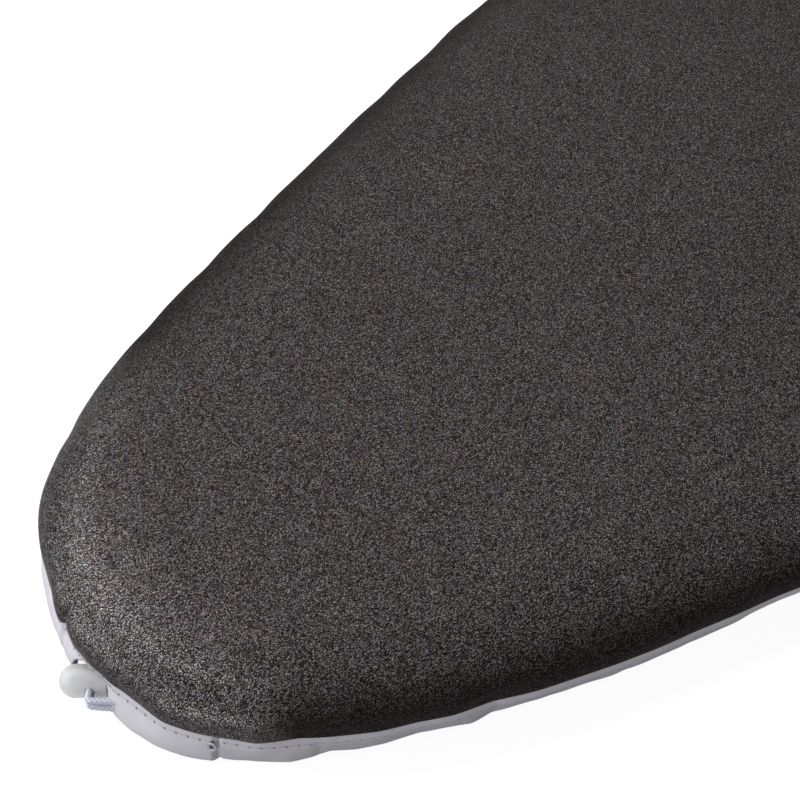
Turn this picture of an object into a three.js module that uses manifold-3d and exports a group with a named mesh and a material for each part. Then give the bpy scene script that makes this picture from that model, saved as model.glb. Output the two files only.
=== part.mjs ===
// Ironing board cover, shown as it is drawn tight over its board, with the board left out.
// Millimetres, +Z up. The narrow nose points to -X and the wide end to +X.
// A coated top fabric, a foam layer and a felt layer are stacked and sewn at their edges
// into a folded binding tape. The lower half of the tape is a tunnel for the drawstring, whose two ends
// cross in a spring-loaded cord lock in the gap between the tunnel's mouths at the nose.
// Inside a section, "inward" is the distance from the cover's outline at its widest girth towards its
// middle, and z is the height above the surface that the cover stands on.

import * as THREE from "three";
import { mergeVertices } from "three/addons/utils/BufferGeometryUtils.js";
import Module from "manifold-3d";

const wasm = await Module();
wasm.setup();

// Overall outline of the fitted cover, at its girth
const cover_length = 1238;
const cover_width = 398;
const nose_radius = 72.3;
const cheek_radius = 248;
const tail_corner_radius = 75;
const tail_bow_radius = 900;
// Headings, in degrees from the long axis, where the nose arc meets the cheek arc and that the shoulder
const nose_end_heading = 31.2;
const cheek_end_heading = 17.3;

// The three layers and the air between pieces that touch
const fabric_thickness = 0.7;
const foam_thickness = 4.6;
const felt_thickness = 3;
const touch_gap = 0.3;
const board_edge_round = 2;

// The edge: how far the sewn seam lies below the top, and how the layers are squeezed into it
const seam_drop = 14;
const tuck_depth = 2.2;
const lip_depth = 1.4;
const fabric_lip = 0.7;
const foam_lip = 1.1;
const felt_lip = 1;

// The binding tape and its tunnel
const band_height = 12;
const tape_thickness = 0.6;
const tunnel_width = 4;
const band_puff = 0.5;
// The height at which the band puffs out most, as a share of the tunnel's
const puff_height_share = 0.67;
// The strip over the lock starts a share of the tape's thickness above the tunnel
const strip_floor_share = 0.33;
// Inward lean of the band's lower edge: it flares a little at the nose and is drawn in along the flanks
const nose_flare = 2.1;
const flank_lean = 5.5;
const flare_end = 28;
const lean_start = 78;
const mouth_gap = 22;

// The drawstring
const cord_diameter = 2;
const tail_length = 18;
const cord_settle = 30;
const bend_handle = 3;

// The cord lock
const lock_radius = 4.5;
const lock_wall = 1;
const lock_tip_reach = 8.5;
const lock_mouth_reach = 4.7;
const lock_yaw = 41;
const lock_out = 0.2;
const lock_side = 0.9;
const lock_floor_gap = 0.3;
const slide_travel = 1.2;
const plunger_travel = 2.2;
const plunger_bridge = 1.3;
const plunger_head_radius = 4.2;
const plunger_head_thickness = 2;
// The head's rounded rim: how far it reaches along the head and how far in towards the axis
const head_round_share = 0.33;
const head_face_share = 0.68;
const head_bevel_share = 0.16;
const head_bevel_start_share = 0.11;
const running_gap = 0.3;
const spring_wire = 0.4;
const spring_diameter = 4.8;
const spring_turns = 3.25;

// Gathers of the edge, where the drawstring crowds the cloth together. The place is a share of the nose
// arc's length measured from the tip, the depth a share of the deepest gather and the reach of the widest.
const gather_depth = 2.8;
const gather_reach = 5;
const left_gather_shares = [
  { place: 0.24, depth: 1, reach: 0.9 },
  { place: 0.62, depth: 0.35, reach: 1 },
  { place: 1.1, depth: 0.25, reach: 1 },
];
const right_gather_shares = [
  { place: 0.54, depth: 0.4, reach: 0.8 },
  { place: 0.92, depth: 0.3, reach: 1 },
  { place: 1.57, depth: 0.25, reach: 1 },
];
// The same at each tail corner, the place as a share of the corner arc's length from its start
const corner_gather_shares = [
  { place: 0.3, depth: 0.3, reach: 1 },
  { place: 0.72, depth: 0.35, reach: 1 },
];
// A sewn edge pulls in fully at the seam, and less at the girth and the shoulder of the roll
const girth_pull_share = 0.45;
const shoulder_pull_share = 0.15;

// Where a gather is sampled, as shares of its reach either side of its middle
const gather_station_shares = [-1, -0.5, 0, 0.5, 1];
// The cutters reach well past what they cut
const slot_cut_share = 4;
const mouth_cut_share = 0.5;

// Fineness
const nose_steps = 8;
const cheek_steps = 2;
const shoulder_steps = 6;
const straight_steps = 1;
const corner_steps = 6;
const bow_steps = 2;
const roll_angles = [0, 30, 60, 90];
const coarse_angles = [0, 45, 90];
const plain_angles = [0, 90];
const least_step_share = 0.6;
const cord_sides = 6;
const bend_steps = 6;
const lock_segments = 24;
const dome_steps = 5;
const slot_arc_steps = 4;
const spring_steps = 9;
const spring_sides = 5;

// Finishes
const finishes = {
  top_fabric: { color: 0x3b3a3d, roughness: 0.55, metalness: 0.5 },
  foam_layer: { color: 0xd9cfa8, roughness: 0.95, metalness: 0 },
  felt_layer: { color: 0xbfbcb6, roughness: 1, metalness: 0 },
  edge_binding: { color: 0xb9b7c1, roughness: 0.85, metalness: 0 },
  drawstring: { color: 0xe4e2e0, roughness: 0.8, metalness: 0 },
  lock_barrel: { color: 0xdcdce0, roughness: 0.35, metalness: 0 },
  lock_plunger: { color: 0xcfcfd4, roughness: 0.35, metalness: 0 },
  lock_spring: { color: 0xb4b7bb, roughness: 0.3, metalness: 1 },
};

const radians = THREE.MathUtils.degToRad;
const quarter = Math.PI / 2;

// Heights and insets that follow from the sizes above
const seam_z = band_height;
const top_z = seam_drop + band_height;
const pad_thickness = fabric_thickness + foam_thickness + felt_thickness + 2 * touch_gap;
const roll_radius = board_edge_round + pad_thickness;
const girth_z = top_z - roll_radius;
const cord_radius = cord_diameter / 2;

// Each layer surface: its depth under the cover's outer skin and its inset in the sewn lip
const foam_out = fabric_thickness + touch_gap;
const foam_in = foam_out + foam_thickness;
const felt_out = foam_in + touch_gap;
const felt_in = felt_out + felt_thickness;
const fabric_lip_out = tuck_depth;
const fabric_lip_in = fabric_lip_out + fabric_lip;
const foam_lip_out = fabric_lip_in + touch_gap;
const foam_lip_in = foam_lip_out + foam_lip;
const felt_lip_out = foam_lip_in + touch_gap;
const felt_lip_in = felt_lip_out + felt_lip;
const lip_z = seam_z - lip_depth;

// Half of the outline, from the nose tip along the +Y side to the middle of the wide end, as tangent
// pieces. A piece turns from one heading to the next; the straight piece keeps its heading.
const nose_end = radians(nose_end_heading);
const cheek_end = radians(cheek_end_heading);
const half_width = cover_width / 2;
const shoulder_radius =
  (half_width -
    nose_radius * Math.cos(nose_end) -
    cheek_radius * (Math.cos(cheek_end) - Math.cos(nose_end))) /
  (1 - Math.cos(cheek_end));
const bow_start = Math.acos((half_width - tail_corner_radius) / (tail_bow_radius - tail_corner_radius));
const nose_part_length =
  nose_radius * (1 - Math.sin(nose_end)) +
  cheek_radius * (Math.sin(nose_end) - Math.sin(cheek_end)) +
  shoulder_radius * Math.sin(cheek_end);
const tail_part_length =
  tail_corner_radius * Math.sin(bow_start) + tail_bow_radius * (1 - Math.sin(bow_start));
const straight_length = cover_length - nose_part_length - tail_part_length;
const pieces = [
  { radius: nose_radius, from: quarter, to: nose_end, steps: nose_steps },
  { radius: cheek_radius, from: nose_end, to: cheek_end, steps: cheek_steps },
  { radius: shoulder_radius, from: cheek_end, to: 0, steps: shoulder_steps },
  { straight: straight_length, from: 0, to: 0, steps: straight_steps },
  { radius: tail_corner_radius, from: 0, to: -bow_start, steps: corner_steps },
  { radius: tail_bow_radius, from: -bow_start, to: -quarter, steps: bow_steps },
];
for (const piece of pieces) piece.length = piece.straight ?? piece.radius * (piece.from - piece.to);
const half_perimeter = pieces.reduce((sum, piece) => sum + piece.length, 0);
const nose_arc_length = pieces[0].length;
const corner_start = half_perimeter - pieces[4].length - pieces[5].length;
const corner_arc_length = pieces[4].length;

// The point and heading at a distance along the half outline
function walk(distance) {
  let x = 0;
  let y = 0;
  let heading = quarter;
  let left = distance;
  for (const piece of pieces) {
    const part = Math.min(left, piece.length);
    if (piece.straight !== undefined) {
      x += part;
    } else {
      const next = piece.from - part / piece.radius;
      x += piece.radius * (Math.sin(piece.from) - Math.sin(next));
      y += piece.radius * (Math.cos(next) - Math.cos(piece.from));
      heading = next;
    }
    left -= part;
    if (left <= 0) break;
  }
  return { x, y, heading };
}

// Gathers, as places along the half outline on one side
function gathersOf(nose_shares) {
  const at_nose = nose_shares.map((g) => ({ ...g, at: g.place * nose_arc_length }));
  const at_tail = corner_gather_shares.map((g) => ({
    ...g,
    at: corner_start + g.place * corner_arc_length,
  }));
  return [...at_nose, ...at_tail].map((g) => ({
    at: g.at,
    depth: g.depth * gather_depth,
    reach: g.reach * gather_reach,
  }));
}

function pullAt(gathers, distance) {
  let pull = 0;
  for (const g of gathers) {
    const off = Math.abs(distance - g.at) / g.reach;
    if (off < 1) pull += (g.depth * (1 + Math.cos(Math.PI * off))) / 2;
  }
  return pull;
}

// A station of one side: its point, its unit direction inward, and how the edge is drawn in there
function stationAt(side, gathers, distance) {
  const { x, y, heading } = walk(distance);
  return {
    distance,
    x,
    y: side * y,
    inward: [Math.sin(heading), -side * Math.cos(heading)],
    pull: pullAt(gathers, distance),
    lean: leanAt(distance),
  };
}

// The stations of one side: even steps on each piece, and several across each gather
function stationsOf(side, gathers) {
  const places = [];
  let start = 0;
  for (const piece of pieces) {
    for (let i = 0; i < piece.steps; i++) places.push(start + (i * piece.length) / piece.steps);
    start += piece.length;
  }
  const tight = least_step_share * gather_reach;
  const exact = gathers.flatMap((g) => gather_station_shares.map((share) => g.at + share * g.reach));
  const kept = places.filter((p) => p === 0 || exact.every((e) => Math.abs(e - p) > tight));
  const all = [...kept, ...exact].sort((a, b) => a - b);
  return all.map((distance) => stationAt(side, gathers, distance));
}

// Inward shift of the band's lower edge
function leanAt(distance) {
  const t = THREE.MathUtils.smoothstep(distance, flare_end, lean_start);
  return -nose_flare + (nose_flare + flank_lean) * t;
}

const left_gathers = gathersOf(left_gather_shares);
const right_gathers = gathersOf(right_gather_shares);
const left_side = stationsOf(1, left_gathers);
const right_side = stationsOf(-1, right_gathers);
const tail_tip = { ...stationAt(1, [], half_perimeter), y: 0, inward: [-1, 0] };
// The whole loop: nose tip, +Y side, middle of the tail, and back along the -Y side
const loop = [...left_side, tail_tip, ...right_side.slice(1).reverse()];

function place(station, inward, z) {
  return [station.x + station.inward[0] * inward, station.y + station.inward[1] * inward, z];
}

// Surfaces from rings of points

function geometryOf(points, triangles) {
  const geometry = new THREE.BufferGeometry();
  geometry.setAttribute("position", new THREE.Float32BufferAttribute(points.flat(), 3));
  geometry.setIndex(triangles);
  return geometry;
}

// Quads between neighbouring rings of equal size; flip turns the faces round. From the row named last
// the quads are split the other way, so that an inner skin, whose rows run back, bends as the outer one.
function skin(
  triangles,
  ring_count,
  ring_size,
  offset,
  ring_loops,
  row_loops,
  flip,
  back_from = Infinity,
) {
  const rings = ring_loops ? ring_count : ring_count - 1;
  const rows = row_loops ? ring_size : ring_size - 1;
  for (let i = 0; i < rings; i++) {
    for (let j = 0; j < rows; j++) {
      const a = offset + i * ring_size + j;
      const b = offset + i * ring_size + ((j + 1) % ring_size);
      const c = offset + ((i + 1) % ring_count) * ring_size + ((j + 1) % ring_size);
      const d = offset + ((i + 1) % ring_count) * ring_size + j;
      if (flip) triangles.push(a, b, c, a, c, d);
      else if (j >= back_from) triangles.push(a, d, b, b, d, c);
      else triangles.push(a, c, b, a, d, c);
    }
  }
}

// A tray: rows of its outer and inner skins swept round the loop, the first and last closed by flat faces
function tray(outer_rows, inner_rows) {
  const rows = [...outer_rows, ...inner_rows];
  const rings = loop.map((station) => rows.map((row) => place(station, ...row(station))));
  const points = rings.flat();
  const triangles = [];
  skin(triangles, loop.length, rows.length, 0, true, false, false, outer_rows.length);
  const flat = (row) => rings.map((ring) => new THREE.Vector2(ring[row][0], ring[row][1]));
  for (const row of [0, rows.length - 1]) {
    const first = row === 0;
    for (const [a, b, c] of THREE.ShapeUtils.triangulateShape(flat(row), [])) {
      const [i, j, k] = [a, b, c].map((n) => n * rows.length + row);
      // the loop runs clockwise seen from above, so the top face is turned round
      if (first) triangles.push(i, j, k);
      else triangles.push(i, k, j);
    }
  }
  return geometryOf(points, triangles);
}

// A row on the rolled edge of the surface at one depth, at an angle from the top
function rollRow(depth, angle) {
  const a = radians(angle);
  const share = Math.sin(a) ** 2;
  const strength = share > 0.5 ? girth_pull_share * share : shoulder_pull_share * share;
  const spared = 1 - depth / pad_thickness;
  return (station) => [
    roll_radius - (roll_radius - depth) * Math.sin(a) + station.pull * strength * spared,
    girth_z + (roll_radius - depth) * Math.cos(a),
  ];
}

// The rows of the tuck from the girth to the sewn lip, the middle one halfway round
function tuckRow(depth, lip) {
  const drawn = 1 - Math.SQRT1_2;
  const spared = 1 - depth / pad_thickness;
  return (station) => {
    const girth = depth + station.pull * girth_pull_share * spared;
    return [
      girth + (lip + station.pull - girth) * drawn,
      girth_z - (girth_z - seam_z) * Math.SQRT1_2,
    ];
  };
}

function lipRow(lip, z) {
  return (station) => [lip + station.pull, z];
}

// A layer between two depths, with its sewn lip
function layer(outer, inner, lip_out, lip_in, outer_angles, inner_angles) {
  const fine = (angles) => angles === roll_angles;
  const outer_rows = [
    ...outer_angles.map((a) => rollRow(outer, a)),
    ...(fine(outer_angles) ? [tuckRow(outer, lip_out)] : []),
    lipRow(lip_out, seam_z),
    lipRow(lip_out, lip_z),
  ];
  const inner_rows = [
    lipRow(lip_in, lip_z),
    lipRow(lip_in, seam_z),
    ...(fine(inner_angles) ? [tuckRow(inner, lip_in)] : []),
    ...[...inner_angles].reverse().map((a) => rollRow(inner, a)),
  ];
  return tray(outer_rows, inner_rows);
}

// Solids for cutting and joining

function solidOf(geometry) {
  const bare = geometry.index ? geometry.toNonIndexed() : geometry.clone();
  bare.deleteAttribute("normal");
  bare.deleteAttribute("uv");
  const merged = mergeVertices(bare);
  return new wasm.Manifold(
    new wasm.Mesh({
      numProp: 3,
      vertProperties: merged.attributes.position.array,
      triVerts: new Uint32Array(merged.index.array),
    }),
  );
}

function geometryFrom(solid) {
  const mesh = solid.getMesh();
  const geometry = new THREE.BufferGeometry();
  geometry.setAttribute("position", new THREE.BufferAttribute(mesh.vertProperties, 3));
  geometry.setIndex(new THREE.BufferAttribute(mesh.triVerts, 1));
  return geometry;
}

// The binding: a channel that takes the three lips, on top of the drawstring's tunnel

const leaf_out = tuck_depth - touch_gap - tape_thickness;
const leaf_back = felt_lip_in + touch_gap + tape_thickness;
const leaf_top = seam_z - touch_gap;
const channel_floor = lip_z - touch_gap;
const tunnel_top = channel_floor - tape_thickness;
const tunnel_floor = tape_thickness;
const puff_z = tunnel_top * puff_height_share;
const strip_bottom = tunnel_top + tape_thickness * strip_floor_share;

// A row of the band: below the tunnel's top it follows the lean
function bandRow(inward, z) {
  const share = Math.max(0, (tunnel_top - z) / tunnel_top);
  return (station) => [inward + station.pull + station.lean * share, z];
}

function binding() {
  const outside = [
    bandRow(leaf_out, leaf_top),
    bandRow(leaf_out - band_puff, puff_z),
    bandRow(leaf_out, 0),
    bandRow(leaf_out + tunnel_width, 0),
    bandRow(leaf_back, tunnel_top),
    bandRow(leaf_back, leaf_top),
    bandRow(leaf_back - tape_thickness, leaf_top),
    bandRow(leaf_back - tape_thickness, channel_floor),
    bandRow(leaf_out + tape_thickness, channel_floor),
    bandRow(leaf_out + tape_thickness, leaf_top),
  ];
  const tunnel = [
    bandRow(leaf_out + tape_thickness, tunnel_top),
    bandRow(leaf_out + tape_thickness, tunnel_floor),
    bandRow(leaf_out + tunnel_width - tape_thickness, tunnel_floor),
    bandRow(leaf_back - tape_thickness, tunnel_top),
  ];
  const ringsOf = (rows) => loop.flatMap((station) => rows.map((row) => place(station, ...row(station))));
  const points = [...ringsOf(outside), ...ringsOf(tunnel)];
  const triangles = [];
  skin(triangles, loop.length, outside.length, 0, true, true, false);
  skin(triangles, loop.length, tunnel.length, outside.length * loop.length, true, true, true);
  const whole = solidOf(geometryOf(points, triangles));
  // the tunnel is left open between its two mouths at the nose, and only the channel runs on
  const reach = nose_radius * mouth_cut_share;
  const cutter = new THREE.BoxGeometry(reach, mouth_gap, strip_bottom + band_height);
  cutter.translate(0, 0, (strip_bottom - band_height) / 2);
  return geometryFrom(whole.subtract(solidOf(cutter)));
}

// The cord lock, in its own frame: +X towards its domed end, the cords' hole at the origin

const bore_radius = lock_radius - lock_wall;
const stem_radius = bore_radius - running_gap;
const dome_centre = lock_tip_reach - lock_radius;
const cord_pitch = cord_diameter + touch_gap;
const hole_half_length = cord_radius + running_gap;
const hole_half_height = cord_pitch / 2 + cord_radius + running_gap;
const stem_end = hole_half_length + plunger_bridge;
const head_face = -lock_mouth_reach - plunger_travel - running_gap;
const head_end = head_face - plunger_head_thickness;

function revolve(profile) {
  const points = profile.map(([along, radius]) => new THREE.Vector2(radius, along));
  return new THREE.LatheGeometry(points, lock_segments).rotateZ(-quarter);
}

// A round-ended slot through the lock from side to side, its length along X from one end to the other
function slotCutter(from, to) {
  const half = hole_half_length;
  const rise = hole_half_height - half;
  const shape = new THREE.Shape();
  shape.moveTo(from, -rise);
  shape.lineTo(from, rise);
  shape.absarc(from + half, rise, half, Math.PI, quarter, true);
  shape.lineTo(to - half, rise + half);
  shape.absarc(to - half, rise, half, quarter, 0, true);
  shape.lineTo(to, -rise);
  shape.absarc(to - half, -rise, half, 0, -quarter, true);
  shape.lineTo(from + half, -rise - half);
  shape.absarc(from + half, -rise, half, -quarter, -Math.PI, true);
  const depth = slot_cut_share * lock_radius;
  const cut = new THREE.ExtrudeGeometry(shape, { depth, bevelEnabled: false, curveSegments: slot_arc_steps });
  return cut.translate(0, 0, -depth / 2).rotateX(quarter);
}

function barrel() {
  const profile = [];
  for (let i = 0; i <= dome_steps; i++) {
    const a = (quarter * i) / dome_steps;
    profile.push([dome_centre + bore_radius * Math.cos(a), bore_radius * Math.sin(a)]);
  }
  profile.push([-lock_mouth_reach, bore_radius]);
  profile.push([-lock_mouth_reach, lock_radius]);
  for (let i = dome_steps; i >= 0; i--) {
    const a = (quarter * i) / dome_steps;
    profile.push([dome_centre + lock_radius * Math.cos(a), lock_radius * Math.sin(a)]);
  }
  const hollow = solidOf(revolve(profile));
  return geometryFrom(hollow.subtract(solidOf(slotCutter(-hole_half_length, hole_half_length))));
}

function plunger() {
  const profile = [
    [head_end, 0],
    [head_end, plunger_head_radius - plunger_head_thickness * head_face_share],
    [
      head_end + plunger_head_thickness * head_bevel_start_share,
      plunger_head_radius - plunger_head_thickness * head_bevel_share,
    ],
    [head_end + plunger_head_thickness * head_round_share, plunger_head_radius],
    [head_face, plunger_head_radius],
    [head_face, stem_radius],
    [stem_end, stem_radius],
    [stem_end, 0],
  ];
  const stem = solidOf(revolve(profile));
  const cut = slotCutter(-hole_half_length - plunger_travel, hole_half_length);
  return geometryFrom(stem.subtract(solidOf(cut)));
}

// A round tube through points with given directions, closed at both ends
function tube(route, radius, sides) {
  const points = [];
  for (const { at, along } of route) {
    const across = new THREE.Vector3(-along.y, along.x, 0).normalize();
    const up = new THREE.Vector3().crossVectors(along, across).normalize();
    for (let i = 0; i < sides; i++) {
      const turn = (2 * Math.PI * (i + 1 / 2)) / sides;
      const point = at.clone().addScaledVector(across, radius * Math.cos(turn));
      points.push(point.addScaledVector(up, radius * Math.sin(turn)).toArray());
    }
  }
  const triangles = [];
  skin(triangles, route.length, sides, 0, false, true, true);
  const last = (route.length - 1) * sides;
  for (let i = 1; i < sides - 1; i++) {
    triangles.push(0, i + 1, i);
    triangles.push(last, last + i, last + i + 1);
  }
  return geometryOf(points, triangles);
}

// The spring between the plunger's end and the inside of the dome
function spring() {
  const coil = (spring_diameter - spring_wire) / 2;
  const seat = dome_centre + Math.sqrt(bore_radius ** 2 - (spring_diameter / 2) ** 2);
  const start = stem_end + touch_gap / 2 + spring_wire / 2;
  const end = seat - touch_gap - spring_wire / 2;
  const steps = Math.round(spring_turns * spring_steps);
  const points = [];
  const centres = [];
  for (let i = 0; i <= steps; i++) {
    const turn = (2 * Math.PI * spring_turns * i) / steps;
    const x = start + ((end - start) * i) / steps;
    centres.push({ x, turn });
    for (let k = 0; k < spring_sides; k++) {
      const a = (2 * Math.PI * k) / spring_sides;
      const r = coil + (spring_wire / 2) * Math.cos(a);
      points.push([x + (spring_wire / 2) * Math.sin(a), r * Math.cos(turn), r * Math.sin(turn)]);
    }
  }
  const triangles = [];
  skin(triangles, steps + 1, spring_sides, 0, false, true, false);
  const last = steps * spring_sides;
  for (let i = 1; i < spring_sides - 1; i++) {
    triangles.push(0, i, i + 1);
    triangles.push(last, last + i + 1, last + i);
  }
  return geometryOf(points, triangles);
}

// The drawstring's route

const lock_z = lock_floor_gap + lock_radius;
const lock_centre = new THREE.Vector3(-lock_out, lock_side, lock_z);
const yaw = radians(lock_yaw);
// through the lock, from its near side on -Y to its far side on +Y
const through = new THREE.Vector3(Math.sin(yaw), Math.cos(yaw), 0);
const low_z = lock_z - cord_pitch / 2;
const high_z = lock_z + cord_pitch / 2;
const rest_z = tunnel_floor + touch_gap + cord_radius;

// The middle of the tunnel at a station and height
function inTunnel(station, z) {
  const front = bandRow(leaf_out + tape_thickness, z)(station)[0];
  const back_low = bandRow(leaf_out + tunnel_width - tape_thickness, tunnel_floor)(station)[0];
  const back_high = bandRow(leaf_back - tape_thickness, tunnel_top)(station)[0];
  const rise = (z - tunnel_floor) / (tunnel_top - tunnel_floor);
  const back = back_low + (back_high - back_low) * rise;
  return new THREE.Vector3(...place(station, (front + back) / 2, z));
}

// Height of a cord that leaves the mouth at one height and settles down the tunnel
function settled(height, distance) {
  const drop = low_z - rest_z;
  const start = mouth_gap / 2;
  return height - drop * THREE.MathUtils.smoothstep(distance, start, start + cord_settle);
}

function bendPoints(from, from_direction, to, to_direction) {
  const curve = new THREE.CubicBezierCurve3(
    from,
    from.clone().addScaledVector(from_direction, bend_handle),
    to.clone().addScaledVector(to_direction, -bend_handle),
    to,
  );
  return curve.getPoints(bend_steps);
}

// From inside the left mouth through the lock to inside the right mouth, at one height
function crossing(z) {
  const inside = mouth_gap / 2 + cord_radius;
  const left = inTunnel(stationAt(1, left_gathers, inside), z);
  const right = inTunnel(stationAt(-1, right_gathers, inside), z);
  const centre = new THREE.Vector3(lock_centre.x, lock_centre.y, z);
  const straight = lock_radius + slide_travel + running_gap;
  const far = centre.clone().addScaledVector(through, straight);
  const near = centre.clone().addScaledVector(through, -straight);
  const back = through.clone().negate();
  const towards_lock = new THREE.Vector3(0, -1, 0);
  return [
    ...bendPoints(left, towards_lock, far, back),
    ...bendPoints(near, back, right, towards_lock),
  ];
}

function drawstringRoute() {
  const tail_end = mouth_gap / 2 + cord_radius + tail_length;
  const past = (stations) => stations.filter((s) => s.distance > mouth_gap / 2 + cord_diameter);
  const points = [];
  // the first tail, in the left tunnel under the other cord
  const left_near = past(left_side).filter((s) => s.distance < tail_end);
  for (const s of [...left_near].reverse()) points.push(inTunnel(s, settled(low_z, s.distance)));
  points.push(...crossing(low_z));
  // out through the right mouth, round the wide end and back along the left side
  for (const s of past(right_side)) points.push(inTunnel(s, settled(low_z, s.distance)));
  points.push(inTunnel(tail_tip, rest_z));
  for (const s of [...past(left_side)].reverse()) {
    // it climbs over the first tail as it nears the mouth
    const passed = THREE.MathUtils.smoothstep(s.distance, tail_end + cord_diameter, tail_end + cord_settle);
    points.push(inTunnel(s, settled(low_z, s.distance) + cord_pitch * (1 - passed)));
  }
  points.push(...crossing(high_z));
  // the second tail, in the right tunnel over the first stretch
  const right_near = past(right_side).filter((s) => s.distance < tail_end);
  for (const s of right_near) points.push(inTunnel(s, settled(high_z, s.distance)));
  return points.map((at, i) => {
    const before = points[Math.max(0, i - 1)];
    const after = points[Math.min(points.length - 1, i + 1)];
    return { at, along: after.clone().sub(before).normalize() };
  });
}

// The assembly

function piece(name, geometry) {
  const mesh = new THREE.Mesh(geometry, new THREE.MeshStandardMaterial(finishes[name]));
  mesh.name = name;
  return mesh;
}

const sewn_cover = new THREE.Group();
sewn_cover.add(
  piece("top_fabric", layer(0, fabric_thickness, fabric_lip_out, fabric_lip_in, roll_angles, roll_angles)),
  piece("foam_layer", layer(foam_out, foam_in, foam_lip_out, foam_lip_in, roll_angles, coarse_angles)),
  piece("felt_layer", layer(felt_out, felt_in, felt_lip_out, felt_lip_in, coarse_angles, plain_angles)),
  piece("edge_binding", binding()),
  piece("drawstring", tube(drawstringRoute(), cord_radius, cord_sides)),
);

const cord_lock = new THREE.Group();
cord_lock.add(
  piece("lock_barrel", barrel()),
  piece("lock_plunger", plunger()),
  piece("lock_spring", spring()),
);
cord_lock.position.copy(lock_centre);
cord_lock.rotation.z = Math.PI - yaw;

const cover = new THREE.Group();
cover.add(sewn_cover, cord_lock);
// The origin is at the middle of the whole, on the surface that it stands on
cover.updateMatrixWorld(true);
const box = new THREE.Box3().setFromObject(cover, true);
cover.position.set(-(box.min.x + box.max.x) / 2, -(box.min.y + box.max.y) / 2, -box.min.z);

export default cover;
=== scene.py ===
# Ironing board cover: cloth, stitching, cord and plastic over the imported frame.
# Shapes are worked out in millimetres, as in the part's source, and become metres in their meshes.
import math

import bmesh
import bpy
import numpy as np
from mathutils import Matrix, Vector


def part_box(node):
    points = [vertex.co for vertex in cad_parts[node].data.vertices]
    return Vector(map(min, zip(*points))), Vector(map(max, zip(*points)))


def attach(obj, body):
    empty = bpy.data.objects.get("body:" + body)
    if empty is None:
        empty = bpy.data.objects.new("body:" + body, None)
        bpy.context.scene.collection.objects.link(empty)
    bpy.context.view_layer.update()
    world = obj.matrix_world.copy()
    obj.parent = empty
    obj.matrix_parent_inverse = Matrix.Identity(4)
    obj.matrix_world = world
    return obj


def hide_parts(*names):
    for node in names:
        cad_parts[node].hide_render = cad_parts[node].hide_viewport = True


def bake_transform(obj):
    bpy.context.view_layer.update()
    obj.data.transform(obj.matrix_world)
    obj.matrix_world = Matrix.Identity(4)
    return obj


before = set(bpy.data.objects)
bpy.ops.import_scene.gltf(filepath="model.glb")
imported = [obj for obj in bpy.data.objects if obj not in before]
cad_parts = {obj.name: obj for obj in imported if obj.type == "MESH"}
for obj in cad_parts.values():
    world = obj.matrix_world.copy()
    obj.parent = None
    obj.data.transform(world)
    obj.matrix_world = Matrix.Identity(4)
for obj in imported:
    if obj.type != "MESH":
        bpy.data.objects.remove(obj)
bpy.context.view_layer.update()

MM = 0.001

# Camera: a 90 mm lens on a 36 mm sensor, over the nose
LENS, SENSOR, NEAREST = 90, 36, 0.01
LOOK_HEADING, LOOK_DROP = math.radians(49.08), math.radians(48.73)
CAMERA_DISTANCE = 568.0
CAMERA_TARGET = (114.5, 8.1, 26.0)

# The cover's outline and section, the same values as the part's source
COVER_LENGTH, COVER_WIDTH = 1238.0, 398.0
NOSE_RADIUS, CHEEK_RADIUS, CORNER_RADIUS, BOW_RADIUS = 72.3, 248.0, 75.0, 900.0
NOSE_END, CHEEK_END = math.radians(31.2), math.radians(17.3)
FABRIC, FOAM, FELT, TOUCH = 0.7, 4.6, 3.0, 0.3
BOARD_ROUND, SEAM_DROP, BAND_HEIGHT = 2.0, 14.0, 12.0
LIP_DEPTH, FABRIC_LIP, FOAM_LIP, FELT_LIP = 1.4, 0.7, 1.1, 1.0
TAPE, MOUTH_GAP = 0.6, 22.0
CORD, TAIL_LENGTH, CORD_SETTLE, BEND_HANDLE = 2.0, 18.0, 30.0, 3.0
LOCK_RADIUS, LOCK_WALL, LOCK_TIP, LOCK_MOUTH = 4.5, 1.0, 8.5, 4.7
LOCK_YAW, LOCK_OUT, LOCK_SIDE, LOCK_FLOOR = math.radians(41.0), 0.2, 0.9, 0.3
SLIDE_TRAVEL, PLUNGER_TRAVEL, PLUNGER_BRIDGE, RUNNING = 1.2, 2.2, 1.3, 0.3
HEAD_RADIUS, HEAD_THICKNESS = 4.2, 2.0
SPRING_WIRE, SPRING_DIAMETER, SPRING_TURNS = 0.4, 4.8, 3.25

HALF_WIDTH = COVER_WIDTH / 2
SHOULDER_RADIUS = (
    HALF_WIDTH
    - NOSE_RADIUS * math.cos(NOSE_END)
    - CHEEK_RADIUS * (math.cos(CHEEK_END) - math.cos(NOSE_END))
) / (1 - math.cos(CHEEK_END))
BOW_START = math.acos((HALF_WIDTH - CORNER_RADIUS) / (BOW_RADIUS - CORNER_RADIUS))
QUARTER = math.pi / 2
TOP_Z = SEAM_DROP + BAND_HEIGHT
PAD = FABRIC + FOAM + FELT + 2 * TOUCH
ROLL = BOARD_ROUND + PAD
GIRTH_Z = TOP_Z - ROLL
LIP_Z = BAND_HEIGHT - LIP_DEPTH
nose_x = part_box("top_fabric")[0].x


def arcs():
    """The half outline's pieces as radius (or None), start and end heading, and length."""
    turns = [
        (NOSE_RADIUS, QUARTER, NOSE_END),
        (CHEEK_RADIUS, NOSE_END, CHEEK_END),
        (SHOULDER_RADIUS, CHEEK_END, 0.0),
        (None, 0.0, 0.0),
        (CORNER_RADIUS, 0.0, -BOW_START),
        (BOW_RADIUS, -BOW_START, -QUARTER),
    ]
    run = sum(r * (math.sin(a) - math.sin(b)) for r, a, b in turns if r)
    return [(r, a, b, r * (a - b) if r else COVER_LENGTH - run) for r, a, b in turns]


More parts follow.
